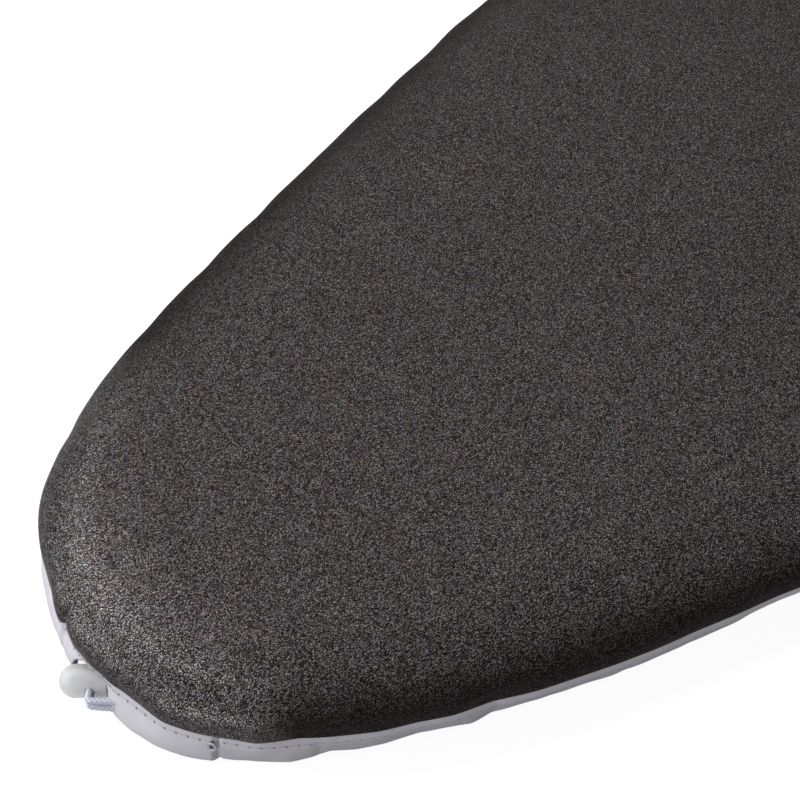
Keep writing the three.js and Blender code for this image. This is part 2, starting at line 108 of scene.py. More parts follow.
ARCS = arcs()
HALF = sum(a[3] for a in ARCS)
CORNER_ARC, BOW_ARC = ARCS[4][3], ARCS[5][3]
CORNER_AT = HALF - CORNER_ARC - BOW_ARC


def walk(s):
    """Points and inward directions at signed distances from the nose tip, + along the +Y side."""
    s = (np.asarray(s, float) + HALF) % (2 * HALF) - HALF
    side, d = np.where(s < 0, -1.0, 1.0), np.abs(s)
    x, y, heading, start = np.zeros_like(d), np.zeros_like(d), np.full_like(d, QUARTER), 0.0
    for radius, a, _, length in ARCS:
        part = np.clip(d - start, 0, length)
        if radius is None:
            x += part
        else:
            after = a - part / radius
            x += radius * (math.sin(a) - np.sin(after))
            y += radius * (np.cos(after) - math.cos(a))
            heading = np.where(d > start, after, heading)
        start += length
    return x, side * y, np.sin(heading), -side * np.cos(heading)


def place(s, n, z):
    """Row-frame points in metres: n millimetres inward of the outline at s, z above the floor."""
    x, y, ix, iy = walk(s)
    return np.stack([(x + ix * n) * MM + nose_x, (y + iy * n) * MM, z * np.ones_like(x) * MM], -1)


# The rolled edge isn't even: distances from the nose tip, and how far it is drawn in there
EDGE_AT, EDGE_IN = zip(*[
    (-420, 0), (-300, 1), (-240, 1.3), (-215, 1.6), (-200, 1.9), (-187, 1.3), (-175, 1.2),
    (-163, 0.6), (-150, 0.6), (-138, 1.1), (-127, 1.5), (-115, 2.7), (-104, 1.7), (-94, 2.2),
    (-84, 1.7), (-74, 2.3), (-63, 2.6), (-56, 1.5), (-52, 0.8), (-46, 1.1), (-40, 0.5), (-36, 0),
    (-31, -0.3), (-26, -0.7), (-18, 0.6), (-11, 0.9), (-8, 0.3), (-4, 0.6), (0, 0.1), (4, 0.1),
    (8, -0.4), (12, -0.2), (20, -0.2), (26, 0.8), (33, 0.6), (40, -0.2), (49, -1.1), (54, -1.5),
    (60, -1.7), (70, -1.6), (76, -2), (83, -2.4), (100, -2.7), (300, -2.5), (400, 0),
])
SOFTEN = 1.6
# The deep gather left of the cord lock, one side of it folded over
GATHER_AT, GATHER_IN = zip(*[
    (8, 0), (11.5, 0.9), (13.2, 2.3), (14.4, 3.6), (15.2, 4.4), (15.8, 4.2), (16.7, 1.4),
    (17.4, 0.2), (18.2, 0),
])
rng = np.random.default_rng(7)


def puckers(low, high, depth, reach):
    """Small seeded gathers all round, as place, depth and reach."""
    found, at = [], -HALF
    while at < HALF:
        at += rng.uniform(low, high)
        found.append((at, rng.uniform(*depth), rng.uniform(*reach)))
    return found


# Between these distances from the tip the edge follows the photograph, with no random gathers
SHOWN_FROM, SHOWN_TO = -235, 70
SMALL = [p for p in puckers(14, 32, (-0.5, 0.8), (5, 12)) if not SHOWN_FROM < p[0] < SHOWN_TO]
RIPPLES = puckers(6, 16, (-0.3, 0.3), (2, 5))
for corner in (0.3, 0.72):
    for sign in (-1, 1):
        SMALL.append((sign * (CORNER_AT + corner * CORNER_ARC), 0.9, 6.0))


def bumps(s, table):
    """The sum of the table's rounded bumps at s."""
    out = np.zeros_like(s)
    for at, depth, reach in table:
        near = np.abs(s - at) < 4 * reach
        out[near] += depth * np.exp(-(((s[near] - at) / reach) ** 2))
    return out


def wave(s):
    """How far the rolled edge is drawn in at s."""
    s = (s + HALF) % (2 * HALF) - HALF
    near = sum(
        share * np.interp(s + d, EDGE_AT, EDGE_IN)
        for d, share in ((-SOFTEN, 0.25), (0, 0.5), (SOFTEN, 0.25))
    )
    return near + bumps(s, SMALL)


def gather(s):
    """How far the deep gather is drawn in at s."""
    return np.interp(s, GATHER_AT, GATHER_IN)


# Inward shift of the band's lower edge, from one flank past the nose to the other
LEAN_AT, LEAN = zip(*[
    (-400, 4.6), (-300, 6), (-205, 7.2), (-188, 5.2), (-172, 4.5), (-152, 4), (-136, 5.2),
    (-117, 6), (-110, 4.7), (-96, 5.8), (-86, 4.6), (-78, 4.3), (-71, 5.1), (-66, 3.6), (-60, 2.3),
    (-52, 1.6), (-47, 0.9), (-41.2, 0.4), (-39.6, -1), (-36, -1.7), (-32, -2.4), (-24, -3.1),
    (-16, -3), (-11, -2.5), (-5, -1.8), (0, -1.5), (6, -1.8), (12, -2), (20, -1.5), (26, -1.7),
    (34, -1.7), (42, -2.3), (50, -2.4), (75, 1), (100, 4), (400, 4.6),
])
TUNNEL_TOP = LIP_Z - TOUCH - TAPE
LIP_IN, LIP_FLOOR, TUCK_FLOOR, TUCK_POWER = 1.7, 9.0, 11.0, 0.55
# By the cord lock the lip is raised this much, and fully or not at all at these distances
LIP_RISE, LIP_RISE_NEAR, LIP_RISE_FAR = 1.4, 14, 20
# Where the sides begin on -Y and on +Y, and the length over which they do
NEAR_FLANK, FAR_FLANK = (50, 12), (90, 30)


def lean(s):
    """Inward shift of the band's lower edge."""
    return np.interp(s, LEAN_AT, LEAN)


def flank(s):
    """0 round the nose and 1 along the sides, where the roll is drawn up off the band."""
    near, far = (np.clip((np.abs(s) - at) / run, 0, 1) for at, run in (NEAR_FLANK, FAR_FLANK))
    return np.where(s < 0, near, far)


def low_share(z):
    """How much of the lean the band has at height z: it hangs nearly upright near its foot."""
    return 1 - np.clip(z / TUNNEL_TOP, 0, 1) ** 1.6


def at_mouths(s, near, far):
    """1 by the cord lock and 0 beyond the tunnel's mouths."""
    return np.clip((far - np.abs(s)) / (far - near), 0, 1)


# Meshes


def smooth(obj, flat_angle=None):
    """Smooth shading, but for edges sharper than flat_angle degrees."""
    for face in obj.data.polygons:
        face.use_smooth = True
    if flat_angle is not None:
        obj.data.set_sharp_from_angle(angle=math.radians(flat_angle))
    return obj


def welded(obj, merge):
    """The object with points nearer than merge joined."""
    if merge:
        work = bmesh.new()
        work.from_mesh(obj.data)
        bmesh.ops.remove_doubles(work, verts=work.verts, dist=merge)
        work.to_mesh(obj.data)
        work.free()
    obj.data.validate()
    return smooth(obj)


def mesh_object(name, points, faces, uv=None, merge=None):
    """A new object from its points in metres, faces and flat-cut positions."""
    mesh = bpy.data.meshes.new(name)
    mesh.from_pydata(np.asarray(points).tolist(), [], faces)
    if uv is not None:
        layer = mesh.uv_layers.new(name="cut")
        loops = np.zeros(len(mesh.loops), np.int32)
        mesh.loops.foreach_get("vertex_index", loops)
        layer.data.foreach_set("uv", np.asarray(uv, np.float32)[loops].ravel())
    obj = bpy.data.objects.new(name, mesh)
    bpy.context.collection.objects.link(obj)
    return welded(obj, merge)


def grid_faces(rings, rows, ring_loop=False, row_loop=False, offset=0):
    """Faces between neighbouring rings of points, with rows points in each ring."""
    faces = []
    for i in range(rings if ring_loop else rings - 1):
        here, there = offset + i * rows, offset + (i + 1) % rings * rows
        for j in range(rows if row_loop else rows - 1):
            m = (j + 1) % rows
            faces.append((here + j, here + m, there + m, there + j))
    return faces


def baked(obj):
    """The object's modifiers turned into its mesh."""
    done = bpy.data.meshes.new_from_object(obj.evaluated_get(bpy.context.evaluated_depsgraph_get()))
    obj.modifiers.clear()
    obj.data = done
    return obj


def thickened(obj, thickness):
    """The sheet made a solid of this thickness behind its face."""
    fix = obj.modifiers.new("tape", "SOLIDIFY")
    fix.thickness, fix.offset = thickness * MM, -1
    return smooth(baked(obj))


# The folds that need finer steps, as distances from the tip and shares of the fine step
SHARP_FOLDS = ((15.8, 0.22), (40.5, 0.3))


def stations(fine, wide):
    """Distances from the tip along one side: fine steps at the nose, finest in the deep gathers."""
    at = np.arange(0, HALF, 0.1)
    places = [0, 230, 340, 420, CORNER_AT - 20, CORNER_AT + 20]
    step = np.interp(at, places, [fine, fine, 1.8 * fine, wide, wide, 2 * fine])
    for fold_at, finest in SHARP_FOLDS:
        step = np.minimum(step, finest * fine + 0.12 * np.abs(at - fold_at))
    done = np.concatenate([[0], np.cumsum(0.1 / step)])
    count = math.floor(done[-1])
    return np.interp(np.arange(0, count) * done[-1] / count, done, np.append(at, HALF))


def ring_of(fine, wide):
    """Signed distances all the way round, the same on both sides."""
    half = stations(fine, wide)
    return np.concatenate([half, [HALF], -half[:0:-1]])


def relief(x, y):
    """Slow unevenness of the padded top, in millimetres."""
    out = 0.16 * np.sin(x / 41 + 1.3 * np.sin(y / 57)) * np.sin(y / 33 + 0.7)
    return out + 0.07 * np.sin(x / 17 + 2.1) * np.sin(y / 14 + x / 63)


SPINE_FROM, SPINE_TO = NOSE_RADIUS, COVER_LENGTH - 130
CROWN_RISE, CROWN_FALL, CROWN_WIDTH = 0.5, 0.0055, 33.0
# The sharp crease in the deep gather: its place, depth and width, and the height it starts at
CREASE_AT, CREASE_DEPTH, CREASE_WIDTH, CREASE_FROM = 15.3, 2.2, 0.8, 0.35
GATHER_HIGH = 0.35


def skin(s, depth, lip, steps):
    """One skin of a layer from the middle of the top to the sewn lip.

    Gives its rows of points, their flat-cut positions and the painted edge light there: painted
    shade where it turns under along the sides, painted sheen round the nose.
    """
    roll_steps, tuck_steps, top_steps = steps
    spared = 1 - depth / PAD
    drawn, deep = wave(s), gather(s)
    crease = CREASE_DEPTH * np.exp(-(((s - CREASE_AT) / CREASE_WIDTH) ** 2))
    x, y, ix, iy = walk(s)
    px, py = x + ix * ROLL, y + iy * ROLL
    # stretched holds each row's painted edge light, not a stretch of the cloth: painted shade where
    # it turns under along the sides, painted sheen round the nose.
    points, cuts, stretched = [], [], []

    def add_row(n, z, cut, edge_light):
        points.append(np.stack([x + ix * n, y + iy * n, z], -1))
        cuts.append(np.stack([x + ix * cut, y + iy * cut], -1))
        stretched.append(edge_light)

    for i in range(top_steps, 0, -1):
        share = (i / top_steps) ** 1.25
        tx, ty = px + (np.clip(px, SPINE_FROM, SPINE_TO) - px) * share, py * (1 - share)
        inward = ROLL + np.hypot(tx - px, ty - py)
        z = TOP_Z - depth + (relief(tx, ty) + crown(inward)) * spared
        points.append(np.stack([tx, ty, z], -1))
        cuts.append(np.stack([tx, ty], -1))
        stretched.append(painted_edge_light(s, inward))
    for i in range(roll_steps + 1):
        a = QUARTER * i / roll_steps
        side = math.sin(a) ** 2
        creased = crease * max(0.0, side - CREASE_FROM) / (1 - CREASE_FROM)
        shift = drawn * side**3 + GATHER_HIGH * deep * side**6 + creased
        n = ROLL - (ROLL - depth) * math.sin(a) + shift * spared
        inward = ROLL * (1 - math.sin(a))
        low = (relief(px, py) + crown(inward)) * spared
        z = GIRTH_Z + (ROLL - depth + low) * math.cos(a)
        length = (ROLL - depth / 2) * a
        add_row(n, z, ROLL - length, painted_edge_light(s, inward))
    floor = np.minimum(BAND_HEIGHT + 0.4, TUCK_FLOOR + 0.8 * flank(s) + depth)
    power = TUCK_POWER + 0.3 * flank(s)
    for i in range(1, tuck_steps + 1):
        b = QUARTER * i / tuck_steps
        gathered = deep * (GATHER_HIGH + (1 - GATHER_HIGH) * math.sin(b))
        edge = depth + (drawn + gathered + crease) * spared
        n = edge + (lip + drawn + deep - edge) * (1 - max(0.0, math.cos(b)) ** power)
        fall = (GIRTH_Z - floor) * math.sin(b) ** power
        add_row(n, GIRTH_Z - fall, ROLL - (length + fall), painted_edge_light(s, 0.0))
    lip_z = LIP_FLOOR + LIP_RISE * at_mouths(s, LIP_RISE_NEAR, LIP_RISE_FAR)
    add_row(lip + drawn + deep, lip_z, ROLL - (length + fall) - 2, stretched[-1])
    return points, cuts, stretched


# How far in from the outline the painted shade along the sides and the painted sheen round the nose
# end, the length over which each grows, and its most
SIDE_PAINTED_SHADE, NOSE_PAINTED_SHEEN = (13, 10, 0.74), (17, 8, 0.8)


def painted_edge_light(s, n):
    """Painted edge light on the cloth, n millimetres in from the outline.

    Above 0 for painted shade where it turns under along the sides, below 0 for painted sheen round
    the nose, where the cloth is stretched.
    """
    end, run, most = SIDE_PAINTED_SHADE
    side = np.clip((end - n) / run, 0, 1) ** 1.1 * most
    end, run, most = NOSE_PAINTED_SHEEN
    nose = np.clip((end - n) / run, 0, 1) * most
    return side * flank(s) - nose * (1 - flank(s))


def crown(n):
    """The soft pad is fullest in its middle and falls towards its edge."""
    inside = np.maximum(n, ROLL)
    slope = 2 * CROWN_FALL * (CROWN_WIDTH - ROLL)
    over = (ROLL - np.minimum(n, ROLL)) / ROLL
    fall = CROWN_FALL * np.clip(CROWN_WIDTH - inside, 0, None) ** 2
    return CROWN_RISE - fall - slope * ROLL * (over - over**2 / 2)


def layer(name, depths, lips, spacing, steps):
    """A closed layer: its outer skin, its lip and its inner skin."""
    s = ring_of(*spacing)
    outer, inner = (skin(s, depth, lip, steps) for depth, lip in zip(depths, lips))
    rows, cuts, stretched = (there + back[::-1] for there, back in zip(outer, inner))
    points = np.stack(rows, 1).reshape(-1, 3) * MM + np.array([nose_x, 0, 0])
    uv = np.stack(cuts, 1).reshape(-1, 2) * MM
    faces = [f[::-1] for f in grid_faces(len(s), len(rows), ring_loop=True)]
    made = mesh_object(name, points, faces, uv)
    # The painted edge light is kept on the points, for the cloth's colour.
    kept = made.data.attributes.new("painted_edge_light", "FLOAT", "POINT")
    kept.data.foreach_set("value", np.stack(stretched, 1).ravel().astype(np.float32))
    return welded(made, 1e-6)


top = layer("top_cloth", (0, FABRIC), (LIP_IN, LIP_IN + FABRIC_LIP), (1.2, 4.5), (16, 10, 30))
hidden = {"spacing": (2.5, 7), "steps": (8, 4, 20)}
foam_depth, foam_lip = FABRIC + TOUCH, LIP_IN + FABRIC_LIP + TOUCH
foam = layer("foam_pad", (foam_depth, foam_depth + FOAM), (foam_lip, foam_lip + FOAM_LIP), **hidden)
felt_lip = foam_lip + FOAM_LIP + TOUCH
felt = layer("felt_pad", (PAD - FELT, PAD), (felt_lip, felt_lip + FELT_LIP), **hidden)

# The binding: one folded tape, cut away between the tunnel's mouths

# The tape's section, as inward and height: down its face, under, and up its inner side
BAND_PATH = [
    (1.25, 10.9), (1.02, 10.8), (0.86, 10.5), (0.7, 10.1), (0.6, 9.7), (0.6, 9.3), (0.68, 8.9),
    (0.44, 8.3), (0.34, 7.6), (0.3, 6.8), (0.3, 5.6), (0.34, 4.4), (0.42, 3.3), (0.54, 2.4),
    (0.72, 1.6), (1, 0.9), (1.42, 0.38), (2, 0.08), (2.8, 0), (3.7, 0.02), (4.4, 0.2), (4.85, 0.6),
    (5.1, 1.3), (5.3, 2.4), (5.5, 4.4), (5.7, 6.8), (5.85, 9.1), (5.9, 9.95), (5.85, 10.7),
    (5.9, 11.4),
]
FACE, STITCH_ROW, EYELET_ROW, BOTTOM_ROW = 0.35, 6, 8, 18
# Where the tunnel's mouths cut the tape's face: height, and distance from the tip on each side
MOUTH_Z, LEFT_MOUTH, RIGHT_MOUTH = zip(*[
    (0, 11, 12), (1.6, 10.3, 10.4), (3.3, 9.5, 8.2), (4.4, 9, 7.5), (5.6, 8.6, 7.4), (6.8, 8, 7.2),
    (7.8, 7.1, 6.7), (8.7, 5.9, 5.7), (9.3, 4.1, 4.2), (9.7, 2.2, 2.4),
])
# The same on its inner side, and the height from which a strip stays whole over the lock
INNER_MOUTHS, STRIP_Z = (12.3, 12.0), 9.7
# From the mouths to this distance the mesh's steps are eased
MOUTH_EASE = 27
# Along the sides the tape's upper edge is this much higher, starting at a height and over a rise
EDGE_LIFT, LIFT_FROM, LIFT_OVER = 0.9, 9.3, 1.5
FOLDS = [
    # place, depth, width towards the tip and away, how much of it reaches the stitching
    (-40.9, 1.5, 0.8, 0.5, 0.8),
    (-68.3, 0.6, 1.6, 1.0, 0.6),
    (-116.5, 0.5, 2.0, 1.2, 0.6),
    (16.0, 0.5, 1.0, 1.0, 0.8),
]


def band_point(s, n, z):
    """n of the tape's face with its lean, gathers and folds."""
    low = low_share(z)
    out = n + wave(s) * (1 - low) + gather(s) * np.clip((z - 6.5) / 4, 0, 1) ** 1.5
    out = out + (lean(s) + bumps(s, RIPPLES)) * low
    for at, depth, near_tip, away, top_share in FOLDS:
        outward = (s - at) * (1 if at > 0 else -1) > 0
        width = np.where(outward, away, near_tip)
        share = (top_share + (1 - top_share) * np.sqrt(low)) * np.clip(z / 3, 0.3, 1)
        out = out + depth * np.exp(-(((s - at) / width) ** 2)) * share
    return out


half_mouth = MOUTH_GAP / 2
band_half = stations(1.0, 4.0)
band_half = np.concatenate([[half_mouth], band_half[band_half > half_mouth + 0.3]])
band_s = np.concatenate([band_half, [HALF], -band_half[::-1]])
by_mouth = at_mouths(band_s, half_mouth, MOUTH_EASE)
rows, count = len(BAND_PATH), len(band_s)
band_points, band_uv, runs = [], [], [0.0]
for k, (n, z) in enumerate(BAND_PATH):
    if k:
        runs.append(runs[-1] + math.dist(BAND_PATH[k], BAND_PATH[k - 1]))
    mouths = [np.interp(z, MOUTH_Z, mouth) for mouth in (LEFT_MOUTH, RIGHT_MOUTH)]
    if k > BOTTOM_ROW and z <= STRIP_Z:
        mouths = INNER_MOUTHS
    s = band_s + np.sign(band_s) * by_mouth * (np.where(band_s > 0, *mouths) - half_mouth)
    lift = min(1.0, max(0.0, (z - LIFT_FROM) / LIFT_OVER)) if k < STITCH_ROW else 0.0
    raised = EDGE_LIFT * flank(s) * lift
    band_points.append(place(s, band_point(s, n, z), z + raised))
    band_uv.append(np.stack([s * MM, np.full_like(s, runs[k] * MM)], -1))
stitch_run, eyelet_run = runs[STITCH_ROW], runs[EYELET_ROW] + 0.2
band_points = np.stack(band_points, 1).reshape(-1, 3)
band_uv = np.stack(band_uv, 1).reshape(-1, 2)
open_rows = [j for j, (n, z) in enumerate(BAND_PATH) if z <= STRIP_Z]
faces = []
for i in range(count):
    k = (i + 1) % count
    for j in range(rows - 1):
        if k or j not in open_rows:
            faces.append((i * rows + j + 1, i * rows + j, k * rows + j, k * rows + j + 1))
band = thickened(mesh_object("binding_tape", band_points, faces, band_uv), TAPE)

# The underside of the strip over the lock
STRIP_TAPE, STRIP_CUT = 0.4, 0.04
strip_s = np.linspace(-half_mouth - 1, half_mouth + 1, 24)
strip_path = [
    (1.0, 10.2), (1.2, 9.95), (1.7, 9.85), (3.4, 9.8), (5.0, 9.85), (5.3, 9.95), (5.45, 10.2),
]
strip_points = [place(strip_s, n + wave(strip_s), z) for n, z in strip_path]
strip_uv = [
    np.stack([strip_s * MM, np.full_like(strip_s, STRIP_CUT + n * MM)], -1) for n, z in strip_path
]
strip = mesh_object(
    "binding_strip",
    np.stack(strip_points, 1).reshape(-1, 3),
    [f[::-1] for f in grid_faces(len(strip_s), len(strip_path))],
    np.stack(strip_uv, 1).reshape(-1, 2),
)
thickened(strip, STRIP_TAPE)

# Topstitching: short thread stitches near the tape's upper edges
PITCH, STITCH, THREAD = 3.3, 2.5, 0.15
# By the cord lock the row is 1 mm higher, fully or not at all at these distances from the tip
ROW_RISE_NEAR, ROW_RISE_FAR = 5, 9
# The deep gather hides the inner row between these distances from the tip
HIDDEN_FROM, HIDDEN_TO = 4, 21


def stitches(name, row, outward):
    """One row of stitches along the tape: outward is 1 on its face and -1 on its inner side."""
    n_face, z_face = BAND_PATH[row]
    centres = (np.arange(math.floor(2 * HALF / PITCH)) + 0.5) * PITCH - HALF
    if outward < 0:
        centres = centres[(centres < HIDDEN_FROM) | (centres > HIDDEN_TO)]
    rings, sides = 6, 6
    along = np.linspace(-0.5, 0.5, rings)
    s = (centres[:, None] + along[None, :] * STITCH).ravel()
    bow = np.tile(np.cos(along * math.pi) ** 0.5, len(centres))
    n = band_point(s, n_face, z_face) - outward * (bow * 0.15 - 0.07)
    uneven = np.repeat(rng.uniform(-0.07, 0.07, len(centres)), rings)
    z = z_face + at_mouths(s, ROW_RISE_NEAR, ROW_RISE_FAR) + uneven
    points, faces = [], []
    for k in range(sides):
        a = 2 * math.pi * k / sides
        points.append(place(s, n + THREAD * math.cos(a), z + THREAD * math.sin(a)))
    points = np.stack(points, 1).reshape(-1, 3)
    for c in range(len(centres)):
        first, last = c * rings * sides, (c * rings + rings - 1) * sides
        faces += grid_faces(rings, sides, row_loop=True, offset=first)
        faces.append(tuple(first + i for i in range(sides))[::-1])
        faces.append(tuple(last + i for i in range(sides)))
    return mesh_object(name, points, faces)


front_thread = stitches("topstitch_front", STITCH_ROW, 1)
back_thread = stitches("topstitch_back", rows - 2, -1)


def lathe(profile, segments):
    """Points and faces of a profile of (along, radius) turned round the X axis."""
    points = []
    for along, radius in profile:
        for k in range(segments):
            a = 2 * math.pi * k / segments
            points.append((along, radius * math.cos(a), radius * math.sin(a)))
    return np.array(points), grid_faces(len(profile), segments, row_loop=True)


# The little eyelet ring in the binding, an oval round a hole
EYELET_S, EYELET_Z, EYELET_SUNK = -39.6, 7.4, 0.12
EYELET_RADIUS, EYELET_RIM, EYELET_TALL = 0.92, (0.3, 0.33), 1.3
EYELET_HOLE = (0.62, 0.85)
eyelet_profile = []
for k in range(13):
    a = 2 * math.pi * k / 12
    rim = (EYELET_RIM[0] * math.cos(a), EYELET_RADIUS + EYELET_RIM[1] * math.sin(a))
    eyelet_profile.append(rim)
points, faces = lathe(eyelet_profile, 28)
eyelet_s = np.array([EYELET_S])
x, y, ix, iy = [float(v[0]) for v in walk(eyelet_s)]
eyelet_n = float(band_point(eyelet_s, FACE, EYELET_Z)[0]) - EYELET_SUNK
centre = np.array([x + ix * eyelet_n, y + iy * eyelet_n, EYELET_Z])
below, above = band_point(eyelet_s, 0.0, np.array([EYELET_Z - 1.0, EYELET_Z + 1.0]))
tilt = math.atan2(float(above - below), 2.0)
out = np.array([-ix * math.cos(tilt), -iy * math.cos(tilt), math.sin(tilt)])
side = np.array([-iy, ix, 0.0])
rise = np.cross(side, out)
rise *= math.copysign(EYELET_TALL, rise[2])
points = (centre + points[:, :1] * out + points[:, 1:2] * side + points[:, 2:] * rise) * MM
eyelet = mesh_object("eyelet_ring", points + np.array([nose_x, 0, 0]), faces, merge=1e-7)

# The drawstring

cord_radius = CORD / 2
lock_z = LOCK_FLOOR + LOCK_RADIUS
lock_centre = np.array([-LOCK_OUT, LOCK_SIDE, lock_z])
through = np.array([math.sin(LOCK_YAW), math.cos(LOCK_YAW), 0.0])
cord_pitch = CORD + TOUCH
low_z, high_z = lock_z - cord_pitch / 2, lock_z + cord_pitch / 2
rest_z = TAPE + TOUCH + cord_radius
# The tunnel's inner face, how far the cord hugs its outer face, and for how long by the mouths
TUNNEL_BACK, HUG, HUG_RUN = 4.9, 0.8, 20
# The cord stays straight this much beyond the lock's reach
STRAIGHT = 0.9
NEAR_STEP, FAR_STEP, FAR_FROM = 2.0, 6.0, 90
# One turn of the braid, its ribs, and the mesh steps near the lock, where it is seen, and beyond
BRAID_LAY, BRAID_RIBS = 5.2, 4
BRAID_REACH, BRAID_FINE, BRAID_COARSE = 26, 0.16, 3.0


def in_tunnel(s, z):
    """The cord's place in the tunnel: in its middle, and against its outer face by the mouths."""
    s = np.atleast_1d(np.asarray(s, float))
    z = np.atleast_1d(np.asarray(z, float)) * np.ones(np.size(s))
    front = band_point(s, FACE, z) + TAPE
    back = band_point(s, TUNNEL_BACK, z)
    hug = HUG * at_mouths(s, half_mouth, half_mouth + HUG_RUN)
    n = (front + back) / 2 * (1 - hug) + (front + cord_radius + 0.1) * hug
    x, y, ix, iy = walk(s)
    return np.stack([x + ix * n, y + iy * n, z], -1)


def step(d, a, b):
    """A smooth rise from 0 at a to 1 at b."""
    t = np.clip((np.asarray(d, float) - a) / (b - a), 0, 1)
    return t * t * (3 - 2 * t)


def settled(height, d):
    """The cord's height as it sinks to the tunnel's floor beyond the mouth."""
    return height - (low_z - rest_z) * step(d, half_mouth, half_mouth + CORD_SETTLE)


def bend(p, dp, q, dq, handles=(BEND_HANDLE, BEND_HANDLE), n=14):
    """A curve from p along dp to q along dq."""
    a, b, c, d = p, p + dp * handles[0], q - dq * handles[1], q
    t = np.linspace(0, 1, n)[:, None]
    return (1 - t) ** 3 * a + 3 * t * (1 - t) ** 2 * b + 3 * t**2 * (1 - t) * c + t**3 * d


def crossing(z):
    """The cord from one mouth of the tunnel through the lock to the other, straight in the lock."""
    inside = half_mouth + cord_radius
    left, right = in_tunnel(inside, z)[0], in_tunnel(-inside, z)[0]
    centre = np.array([lock_centre[0], lock_centre[1], z])
    reach = LOCK_RADIUS + SLIDE_TRAVEL + STRAIGHT
    far, near = centre + through * reach, centre - through * reach
    out_of_left, into_right = np.array([0.0, -1.0, 0.0]), np.array([0.3, -0.95, 0.0])
    return np.concatenate([
        bend(left, out_of_left, far, -through),
        bend(near, -through, right, into_right, (1.0, 3.0)),
    ])


def route():
    """The whole cord: one tail, through the lock, once round and back through the lock."""
    tail_end = half_mouth + cord_radius + TAIL_LENGTH
    start = half_mouth + CORD
    near = np.arange(start, tail_end, NEAR_STEP)
    far = np.concatenate([
        np.arange(start, FAR_FROM, NEAR_STEP),
        np.arange(FAR_FROM, HALF, FAR_STEP),
    ])
    climb = 1 - step(far, tail_end + CORD, tail_end + CORD_SETTLE)
    return np.concatenate([
        in_tunnel(near[::-1], settled(low_z, near[::-1])),
        crossing(low_z),
        in_tunnel(-far, settled(low_z, far)),
        in_tunnel([HALF], rest_z),
        in_tunnel(far[::-1], (settled(low_z, far) + cord_pitch * climb)[::-1]),
        crossing(high_z),
        in_tunnel(-near, settled(high_z, near)),
    ])


def resampled(line, step_of):
    """The line again, smoothed, with steps that follow step_of(points)."""
    along = np.concatenate([[0], np.cumsum(np.linalg.norm(np.diff(line, axis=0), axis=1))])
    fine = np.arange(0, along[-1], 0.1)
    pts = np.stack([np.interp(fine, along, line[:, k]) for k in range(3)], 1)
    reach = 9
    kernel = np.hanning(2 * reach + 1)
    kernel /= kernel.sum()
    padded = np.concatenate([np.repeat(pts[:1], reach, 0), pts, np.repeat(pts[-1:], reach, 0)])
    pts = np.stack([np.convolve(padded[:, k], kernel, "valid") for k in range(3)], 1)
    count = np.cumsum(0.1 / step_of(pts))
    at = np.interp(np.arange(0, math.floor(count[-1])), count, fine)
    return np.stack([np.interp(at, fine, pts[:, k]) for k in range(3)], 1), at


def braided(name, line, along, sides, radius):
    """A round braid: crossing ribs stand out of the tube where it is sampled finely."""
    tangent = np.gradient(line, axis=0)
    tangent /= np.linalg.norm(tangent, axis=1)[:, None]
    across = np.stack([-tangent[:, 1], tangent[:, 0], 0 * tangent[:, 0]], 1)
    across /= np.linalg.norm(across, axis=1)[:, None]
    up = np.cross(tangent, across)
    around = 2 * math.pi * np.arange(sides) / sides
    lay = 2 * math.pi * along / BRAID_LAY
    one = np.cos(BRAID_RIBS * (around[None, :] + lay[:, None]))
    two = np.cos(BRAID_RIBS * (around[None, :] - lay[:, None]))
    r = radius * (0.93 + 0.06 * np.maximum(one, two) + 0.03 * np.abs(one * two))
    sideways = np.cos(around)[None, :, None] * across[:, None]
    upward = np.sin(around)[None, :, None] * up[:, None]
    points = line[:, None] + r[..., None] * (sideways + upward)
    uv = np.broadcast_arrays(along[:, None] * MM, around[None, :] / (2 * math.pi))
    faces = [f[::-1] for f in grid_faces(len(line), sides, row_loop=True)]
    last = (len(line) - 1) * sides
    faces.append(tuple(range(sides)))
    faces.append(tuple(last + k for k in range(sides))[::-1])
    points = points.reshape(-1, 3) * MM + np.array([nose_x, 0, 0])
    return mesh_object(name, points, faces, np.stack(uv, -1).reshape(-1, 2))


def cord_step(points):
    """Fine steps near the lock, where the braid is seen, and wide ones in the tunnel."""
    away = np.hypot(points[:, 0], points[:, 1])
    return np.where(away < BRAID_REACH, BRAID_FINE, BRAID_COARSE)


cord_line, cord_along = resampled(route(), cord_step)
cord = braided("drawstring_braid", cord_line, cord_along, 24, cord_radius)

# The cord lock, made along X with its domed end at +X and the cords' hole at the origin

bore = LOCK_RADIUS - LOCK_WALL
dome_centre = LOCK_TIP - LOCK_RADIUS
hole_half = cord_radius + RUNNING
hole_rise = cord_pitch / 2
stem_radius = bore - RUNNING
stem_end = hole_half + PLUNGER_BRIDGE
head_face = -LOCK_MOUTH - PLUNGER_TRAVEL - RUNNING
head_end = head_face - HEAD_THICKNESS
lock_turn = Matrix.Rotation(math.pi - LOCK_YAW, 4, "Z")
lock_at = Vector((nose_x + lock_centre[0] * MM, lock_centre[1] * MM, lock_z * MM))
lock_place = Matrix.Translation(lock_at) @ lock_turn


def in_lock(obj):
    """The object, made in millimetres along X, in its place and size."""
    obj.data.transform(Matrix.Scale(MM, 4))
    obj.data.transform(lock_place)
    return obj


def slot_cutter(low, high):
    """A round-ended slot from side to side."""
    ring = []
    for end, first in ((high - hole_half, -QUARTER), (low + hole_half, QUARTER)):
        for k in range(10):
            a = first + QUARTER * (k if k < 5 else k - 1) / 4
            middle = hole_rise * (1 if (k >= 5) == (first < 0) else -1)
            ring.append((end + hole_half * math.cos(a), middle + hole_half * math.sin(a)))
    points = [(x, y, z) for y in (-9, 9) for x, z in ring]
    size = len(ring)
    faces = [tuple(range(size)), tuple(range(size, 2 * size))[::-1]]
    faces += [((k + 1) % size, k, size + k, size + (k + 1) % size) for k in range(size)]
    return mesh_object("slot_cutter", points, faces)


